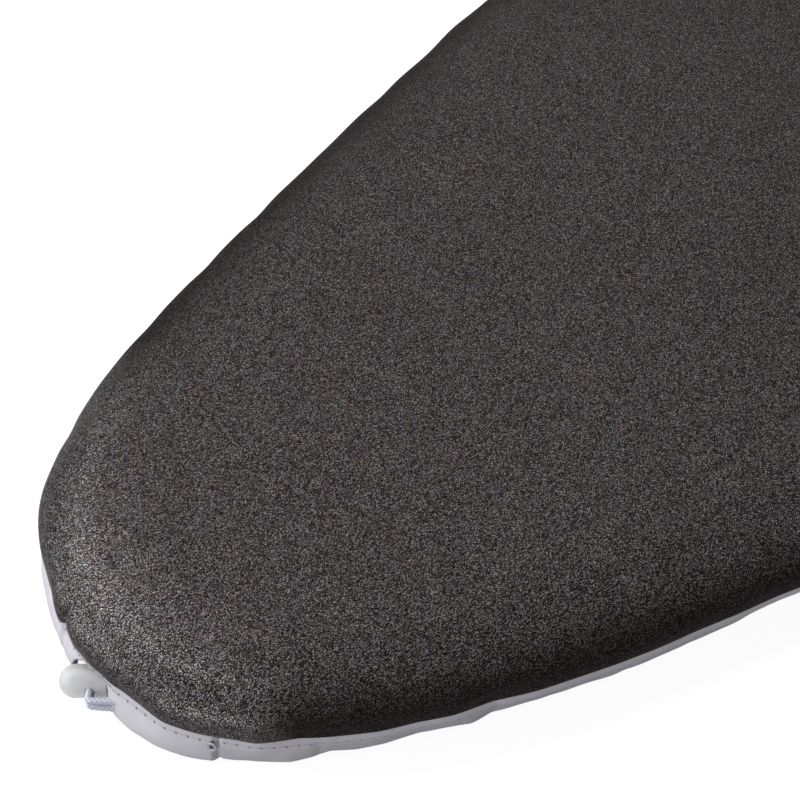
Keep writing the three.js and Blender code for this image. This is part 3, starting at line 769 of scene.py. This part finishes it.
def slotted(obj, low, high):
    """The object with the cords' slot cut through it."""
    cutter = slot_cutter(low, high)
    cut = obj.modifiers.new("slot", "BOOLEAN")
    cut.operation, cut.object, cut.solver = "DIFFERENCE", cutter, "EXACT"
    baked(obj)
    bpy.data.objects.remove(cutter)
    return smooth(obj, 35)


def arc(cx, radius, first, last, count):
    """Points of an arc of a profile, as (along, radius)."""
    angles = [first + (last - first) * k / count for k in range(count + 1)]
    return [(cx + radius * math.cos(a), radius * math.sin(a)) for a in angles]


def turned(name, profile, segments):
    """A solid turned from its profile."""
    points, faces = lathe(profile, segments)
    return mesh_object(name, points, [f[::-1] for f in faces], merge=1e-4)


RIM = 0.18
barrel_profile = [
    *arc(dome_centre, bore, 0, QUARTER, 14),
    (-LOCK_MOUTH + RIM, bore),
    (-LOCK_MOUTH, bore + RIM),
    (-LOCK_MOUTH, LOCK_RADIUS - RIM),
    (-LOCK_MOUTH + RIM, LOCK_RADIUS),
    *arc(dome_centre, LOCK_RADIUS, QUARTER, 0, 18),
]
barrel = in_lock(slotted(turned("toggle_barrel", barrel_profile, 72), -hole_half, hole_half))
plunger_profile = [
    (head_end, 0),
    (head_end, HEAD_RADIUS - 1.2),
    (head_end + 0.12, HEAD_RADIUS - 0.6),
    (head_end + 0.4, HEAD_RADIUS - 0.15),
    (head_end + 0.8, HEAD_RADIUS),
    (head_face - 0.2, HEAD_RADIUS),
    (head_face, HEAD_RADIUS - 0.2),
    (head_face, stem_radius + 0.2),
    (head_face + 0.2, stem_radius),
    (stem_end - 0.3, stem_radius),
    (stem_end, stem_radius - 0.3),
    (stem_end, 0),
]
plunger = turned("toggle_plunger", plunger_profile, 64)
in_lock(slotted(plunger, -hole_half - PLUNGER_TRAVEL, hole_half))


def spring_mesh():
    """The spring's coil, and where it starts and ends along the lock."""
    coil, wire = (SPRING_DIAMETER - SPRING_WIRE) / 2, SPRING_WIRE / 2
    seat = dome_centre + math.sqrt(bore**2 - (SPRING_DIAMETER / 2) ** 2)
    low, high = stem_end + TOUCH / 2 + wire, seat - TOUCH - wire
    steps, sides = round(SPRING_TURNS * 28), 10
    points = []
    for i in range(steps + 1):
        a = 2 * math.pi * SPRING_TURNS * i / steps
        x = low + (high - low) * i / steps
        for k in range(sides):
            b = 2 * math.pi * k / sides
            r = coil + wire * math.cos(b)
            points.append((x + wire * math.sin(b), r * math.cos(a), r * math.sin(a)))
    faces = grid_faces(steps + 1, sides, row_loop=True)
    last = steps * sides
    faces += [tuple(range(sides))[::-1], tuple(last + k for k in range(sides))]
    return mesh_object("toggle_spring", points, faces), low, high


spring, spring_low, spring_high = spring_mesh()
in_lock(spring)

# Materials


class Value:
    """A node's output: sums and products of it add Math nodes."""

    def __init__(self, nodes, socket):
        self.nodes, self.socket = nodes, socket

    def __add__(self, other):
        return self.nodes.math("ADD", self, other)

    def __sub__(self, other):
        return self.nodes.math("SUBTRACT", self, other)

    def __rsub__(self, other):
        return self.nodes.math("SUBTRACT", other, self)

    def __mul__(self, other):
        return self.nodes.math("MULTIPLY", self, other)

    def __truediv__(self, other):
        return self.nodes.math("DIVIDE", self, other)

    def __pow__(self, other):
        return self.nodes.math("POWER", self, other)


class Nodes:
    """A node tree, with short calls to add nodes."""

    def __init__(self, tree):
        self.tree = tree
        self.tree.nodes.clear()

    def put(self, socket, value):
        if isinstance(value, Value):
            self.tree.links.new(value.socket, socket)
        else:
            socket.default_value = value

    def add(self, kind, inputs=(), **settings):
        made = self.tree.nodes.new("ShaderNode" + kind)
        for key, value in settings.items():
            setattr(made, key, value)
        for key, value in dict(inputs).items():
            self.put(made.inputs[key], value)
        return made

    def value(self, kind, inputs=(), output=0, **settings):
        return Value(self, self.add(kind, inputs, **settings).outputs[output])

    def math(self, operation, *values):
        return self.value("Math", dict(enumerate(values)), operation=operation)

    def smaller(self, a, b):
        return self.math("MINIMUM", a, b)

    def larger(self, a, b):
        return self.math("MAXIMUM", a, b)

    def mix(self, share, a, b):
        return self.value("Mix", {0: share, 6: a, 7: b}, output=2, data_type="RGBA")

    def noise(self, vector, scale, detail, **more):
        return self.value("TexNoise", {"Vector": vector, "Scale": scale, "Detail": detail, **more})

    def ramp(self, share, colour, darker, lighter=0, ends=(0.0, 1.0)):
        """From darker than the colour to lighter, by so many sRGB steps."""
        made = self.add("ValToRGB", {0: share})
        for element, by, at in zip(made.color_ramp.elements, (-darker, lighter), ends):
            element.color = rgb(*[min(255, max(0, c + by)) for c in colour])
            element.position = at
        return Value(self, made.outputs[0])

    def bump(self, height, strength, distance):
        return self.value("Bump", {"Height": height, "Strength": strength, "Distance": distance})

    def split(self, vector):
        made = self.add("SeparateXYZ", {0: vector})
        return Value(self, made.outputs[0]), Value(self, made.outputs[1])

    def seen(self):
        """1 where the camera sees this itself, in a gloss or through plastic, 0 where it lights."""
        path = self.add("LightPath")
        rays = ("Camera", "Glossy", "Transmission")
        camera, gloss, through = (Value(self, path.outputs[f"Is {ray} Ray"]) for ray in rays)
        return self.smaller(1.0, camera + (gloss + through))


class Shader(Nodes):
    """A material, with its output node."""

    def __init__(self, name):
        self.material = bpy.data.materials.new(name)
        self.material.use_nodes = True
        super().__init__(self.material.node_tree)
        self.out = self.add("OutputMaterial")

    def finish(self, obj, inputs):
        self.put(self.out.inputs[0], self.value("BsdfPrincipled", inputs))
        obj.data.materials.clear()
        obj.data.materials.append(self.material)


def rgb(*srgb):
    """Linear colour from sRGB bytes."""
    shares = [c / 255 for c in srgb]
    return *[((c + 0.055) / 1.055) ** 2.4 if c > 0.04 else c / 12.92 for c in shares], 1.0


def cut_axes(sh, size):
    """The flat-cut position in units of size millimetres: its two axes and the vector."""
    uv = sh.value("UVMap", uv_map="cut")
    scaled = sh.value("VectorMath", {0: uv, "Scale": 1 / MM / size}, operation="SCALE")
    return *sh.split(scaled), scaled


def cell_noise(sh, x, y, seed):
    """One random value for each whole x and y."""
    joined = sh.value("CombineXYZ", {0: x, 1: y, 2: seed})
    return sh.value("TexWhiteNoise", {"Vector": joined}, "Value")


def floats(sh, along, across, long, seed):
    """Random brightness and rounded height of one direction's threads, each long widths long."""
    row = sh.math("FLOOR", across)
    pos = along / long + cell_noise(sh, row, 0.0, seed) * 7.0
    tone = cell_noise(sh, sh.math("FLOOR", pos), row, seed + 3.0)
    round_across = sh.math("SINE", sh.math("FRACT", across) * math.pi)
    round_along = sh.math("SINE", sh.math("FRACT", pos) * math.pi)
    return tone, round_across * round_along**0.5


# Widths of the threads of the cloth and of the tape
CLOTH_THREAD, TAPE_THREAD = 0.19, 0.28


def coated_cloth(obj):
    """A fine dark weave whose threads are unevenly coated with silvery metal."""
    sh = Shader("coated_cloth")
    x, y, vector = cut_axes(sh, CLOTH_THREAD)
    tone_x, high_x = floats(sh, x, y, 2.0, 1.0)
    tone_y, high_y = floats(sh, y, x, 1.2, 11.0)
    tone_y = tone_y * 0.8
    lift_x, lift_y = high_x * (tone_x + 0.45), high_y * (tone_y + 0.35)
    over = sh.math("GREATER_THAN", lift_x, lift_y)
    height = sh.larger(lift_x, lift_y)
    tone = over * tone_x + (1.0 - over) * tone_y
    cloud = sh.noise(vector, 0.02, 3.0, Roughness=0.6)
    # The threads' random coating tone, darkened towards the edges of each thread by its rounded
    # height: painted shade in the grooves of the weave.
    coat_with_painted_weave_shade = tone**4.3 * (height * 0.5 + 0.5) * (cloud * 0.2 + 0.9)
    # Painted edge light from the layer's points: the colour is darker where the cloth turns under
    # along the sides, a painted shade, and lighter round the nose, a painted sheen.
    edge_sheen_and_shade = sh.value("Attribute", output="Fac", attribute_name="painted_edge_light")
    value = coat_with_painted_weave_shade * (0.25 - edge_sheen_and_shade * 0.21) + 0.002
    patch = [sh.math("FLOOR", axis * 0.45) for axis in (x, y)]
    warm = value * (cell_noise(sh, *patch, 21.0) * 0.44 + 0.76) + 0.003
    cool = value * (cell_noise(sh, *patch, 22.0) * 0.44 + 0.74)
    sh.finish(obj, {
        "Base Color": sh.value("CombineColor", {0: warm, 1: value * 0.95, 2: cool}),
        "Roughness": 0.4 - tone * 0.08 + sh.larger(edge_sheen_and_shade, 0.0) * 0.4,
        "Metallic": 0.52,
        "Specular IOR Level": 0.03,
        "Specular Tint": (0.5, 0.5, 0.5, 1.0),
        "Normal": sh.bump(height, 0.15, 0.0001),
    })


def woven_tape(obj, colour):
    """A plain woven tape, with painted shade in the needle holes along its seam and in the hole of
    its eyelet.
    """
    sh = Shader("woven_tape")
    x, y, vector = cut_axes(sh, TAPE_THREAD)
    weave = sh.math("SINE", x * (2 * math.pi)) * sh.math("SINE", y * (2 * math.pi))
    fuzz, cloud = sh.noise(vector, 0.9, 3.0), sh.noise(vector, 0.05, 3.0)
    shade = sh.ramp(fuzz * 0.5 + cloud * 0.5, colour, 12, 6, (0.25, 0.75))
    along, across = x * TAPE_THREAD, y * TAPE_THREAD
    ends = sh.math("FRACT", (along + HALF) * (1 / PITCH))
    off = (0.5 - sh.math("ABSOLUTE", ends - 0.5)) * PITCH
    near_lock = (ROW_RISE_FAR - sh.math("ABSOLUTE", along)) / (ROW_RISE_FAR - ROW_RISE_NEAR)
    by_lock = sh.smaller(sh.larger(near_lock, 0.0), 1.0)
    apart = sh.math("SQRT", off**2.0 + (across + by_lock - stitch_run) ** 2.0)
    # Painted shade: dark dots where the needle holes are, and the tape darkened inside the eyelet's
    # ring.
    needle_hole_shade = 1.0 - sh.math("SMOOTH_MIN", 1.0, apart * 1.9, 0.2)
    eye_x = (along - EYELET_S) / EYELET_HOLE[0]
    eye_y = (across - eyelet_run) / EYELET_HOLE[1]
    eyelet_hole_shade = sh.math("LESS_THAN", sh.math("SQRT", eye_x**2.0 + eye_y**2.0), 1.0)
    painted_hole_shade = sh.larger(sh.smaller(needle_hole_shade * 1.3, 1.0), eyelet_hole_shade)
    sh.finish(obj, {
        "Base Color": sh.mix(painted_hole_shade, shade, rgb(112, 104, 122)),
        "Roughness": 0.8,
        "Specular IOR Level": 0.2,
        "Normal": sh.bump(weave + fuzz * 0.8, 0.3, 0.00006),
    })


def fibres(obj, name, colour, scale, strength, holes):
    """Felt or foam: a fibrous or an open-celled bump by the flat-cut position."""
    sh = Shader(name)
    vector = cut_axes(sh, 1.0)[2]
    if holes:
        height = sh.value("TexVoronoi", {"Vector": vector, "Scale": scale}, "Distance") ** 0.6
    else:
        height = sh.noise(vector, scale, 6.0, Distortion=2.5)
    # The colour is darker where the bump is low: painted shade in the pores and between the fibres.
    sh.finish(obj, {
        "Base Color": sh.ramp(height, colour, 35),
        "Roughness": 0.95,
        "Sheen Weight": 0.2,
        "Normal": sh.bump(height, strength, 0.0003),
    })


def braid(obj, name, colour):
    """Ribs that cross as those of the braid's mesh do, by the length and the turn of the cord."""
    sh = Shader(name)
    uv = sh.value("UVMap", uv_map="cut")
    along, around = sh.split(uv)
    lay, turns = along * (1 / MM / BRAID_LAY), 2 * math.pi * BRAID_RIBS
    height = sh.larger(
        sh.math("COSINE", (around + lay) * turns),
        sh.math("COSINE", (around - lay) * turns),
    )
    fine = sh.value("TexWave", {"Vector": uv, "Scale": 900.0, "Distortion": 1.0}, "Fac")
    # The colour is darker between the ribs: painted shade in the braid's grooves.
    sh.finish(obj, {
        "Base Color": sh.ramp(height * 0.5 + 0.5, colour, 45, ends=(0.2, 1.0)),
        "Roughness": 0.7,
        "Sheen Weight": 0.2,
        "Normal": sh.bump(height + fine * 0.3, 0.5, 0.00012),
    })


def thread(obj, colour):
    """A twisted sewing thread."""
    sh = Shader("sewing_thread")
    at = sh.value("TexCoord", output="Object")
    twist = sh.value("TexWave", {"Vector": at, "Scale": 1400.0, "Distortion": 2.0}, "Fac")
    # The colour is darker in the twist's grooves: painted shade.
    sh.finish(obj, {
        "Base Color": sh.ramp(twist, colour, 45),
        "Roughness": 0.6,
        "Normal": sh.bump(twist, 0.4, 0.00005),
    })


def milky_plastic(obj, name, colour, see_through):
    """A cloudy moulded plastic."""
    sh = Shader(name)
    at = sh.value("TexCoord", output="Object")
    grain = sh.noise(at, 2600.0, 3.0)
    flow = sh.noise(at, 220.0, 2.0, Distortion=1.5)
    sh.finish(obj, {
        "Base Color": sh.ramp(flow, colour, 10, ends=(0.3, 0.7)),
        "Roughness": grain * 0.2 + 0.28,
        "IOR": 1.49,
        "Transmission Weight": see_through,
        "Normal": sh.bump(grain, 0.08, 0.00005),
    })


def metal(obj, name, colour):
    """Drawn or pressed metal, a little uneven."""
    sh = Shader(name)
    drawn = sh.noise(sh.value("TexCoord", output="Object"), 900.0, 4.0)
    sh.finish(obj, {
        "Base Color": sh.ramp(drawn, colour, 30),
        "Metallic": 1.0,
        "Roughness": drawn * 0.25 + 0.3,
    })


coated_cloth(top)
for piece in (band, strip):
    woven_tape(piece, (210, 208, 215))
for piece in (front_thread, back_thread):
    thread(piece, (214, 212, 219))
fibres(foam, "foam_cells", (217, 207, 168), 1.4, 0.8, True)
fibres(felt, "felt_fibres", (196, 192, 186), 0.9, 0.7, False)
braid(cord, "braided_cord", (217, 220, 234))
milky_plastic(barrel, "milky_barrel", (250, 250, 251), 0.65)
# The plunger's colour is darker than the barrel's: painted shade for the shaded inside of the lock.
milky_plastic(plunger, "milky_plunger_with_painted_shade", (200, 196, 197), 0.35)
metal(spring, "spring_wire", (190, 192, 196))
metal(eyelet, "eyelet_metal", (165, 163, 170))

# Pieces on their bodies, and the CAD nodes that they stand for hidden

for piece, node in (
    (top, "top_fabric"),
    (foam, "foam_layer"),
    (felt, "felt_layer"),
    (band, "edge_binding"),
    (cord, "drawstring"),
):
    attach(piece, "cover")
    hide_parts(node)
for piece in (strip, front_thread, back_thread, eyelet):
    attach(piece, "cover")
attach(barrel, "lock")
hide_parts("lock_barrel")
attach(plunger, "plunger")
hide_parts("lock_plunger")
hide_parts("lock_spring")
spring_start = lock_place @ Vector((spring_high * MM, 0, 0))
spring_end = lock_place @ Vector((spring_low * MM, 0, 0))
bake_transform(spring)

# Floor, light and camera

floor = mesh_object(
    "floor",
    [(-9, -9, 0), (9, -9, 0), (9, 9, 0), (-9, 9, 0)],
    [(0, 1, 2, 3)],
)
sh = Shader("pale_floor")
diffuse = sh.value("BsdfDiffuse", {"Color": (0.22, 0.22, 0.22, 1)})
glow = sh.value("Emission", {"Color": (1, 1, 1, 1), "Strength": sh.seen() * 0.9})
sh.put(sh.out.inputs[0], sh.value("AddShader", {0: diffuse, 1: glow}))
floor.data.materials.append(sh.material)

world = bpy.data.worlds.new("studio")
world.use_nodes = True
bpy.context.scene.world = world
sky = Nodes(world.node_tree)
colour = sky.mix(sky.seen(), (0.2, 0.2, 0.21, 1), (1, 1, 1, 1))
sky.add("OutputWorld", {0: sky.value("Background", {"Color": colour})})


def area_light(name, at, to, size, power):
    """A round lamp at one point, turned to another."""
    data = bpy.data.lights.new(name, "AREA")
    data.shape, data.size, data.energy = "DISK", size, power
    light = bpy.data.objects.new(name, data)
    light.location = at
    light.rotation_euler = (Vector(to) - Vector(at)).to_track_quat("-Z", "Y").to_euler()
    bpy.context.collection.objects.link(light)


area_light("key", (-3.5, 2.5, 1.7), (-0.5, 0, 0), 2.4, 78)
area_light("side", (-4.3, -1.0, 1.4), (-0.5, 0, 0), 2.0, 62)
area_light("back", (-0.9, 2.8, 3.8), (-0.5, 0, 0), 2.2, 105)
area_light("over", (1.3, 2.2, 3.4), (-0.3, 0, 0), 3.0, 28)

look = Vector((
    math.cos(LOOK_HEADING) * math.cos(LOOK_DROP),
    math.sin(LOOK_HEADING) * math.cos(LOOK_DROP),
    -math.sin(LOOK_DROP),
))
target = Vector((nose_x + CAMERA_TARGET[0] * MM, CAMERA_TARGET[1] * MM, CAMERA_TARGET[2] * MM))
camera = bpy.data.objects.new("camera", bpy.data.cameras.new("camera"))
camera.data.lens, camera.data.sensor_width, camera.data.clip_start = LENS, SENSOR, NEAREST
camera.location = target - look * CAMERA_DISTANCE * MM
camera.rotation_euler = look.to_track_quat("-Z", "Y").to_euler()
bpy.context.collection.objects.link(camera)
bpy.context.scene.camera = camera
bpy.context.scene.view_settings.view_transform = "Standard"

# The flat-cut sizes and surface areas of the cloth pieces


def flat_size(points_cut):
    """The length and width of the flat cut."""
    low, high = points_cut.min(0), points_cut.max(0)
    return tuple(high - low)


def cut_of(obj):
    """The object's flat-cut positions in metres."""
    layer = obj.data.uv_layers["cut"].data
    uv = np.zeros(len(layer) * 2, np.float32)
    layer.foreach_get("uv", uv)
    return uv.reshape(-1, 2)


def surface_area(obj):
    """The area of all its faces in square metres."""
    obj.data.calc_loop_triangles()
    return sum(t.area for t in obj.data.loop_triangles)


for piece, held, rests in (
    (top, "stretched", ["foam_pad", "binding_tape"]),
    (felt, "laid", ["foam_pad"]),
):
    length, width = flat_size(cut_of(piece))
    min(float(width * length), surface_area(piece) / 2)
tape_width = float(cut_of(band)[:, 1].max())
2 * HALF * MM
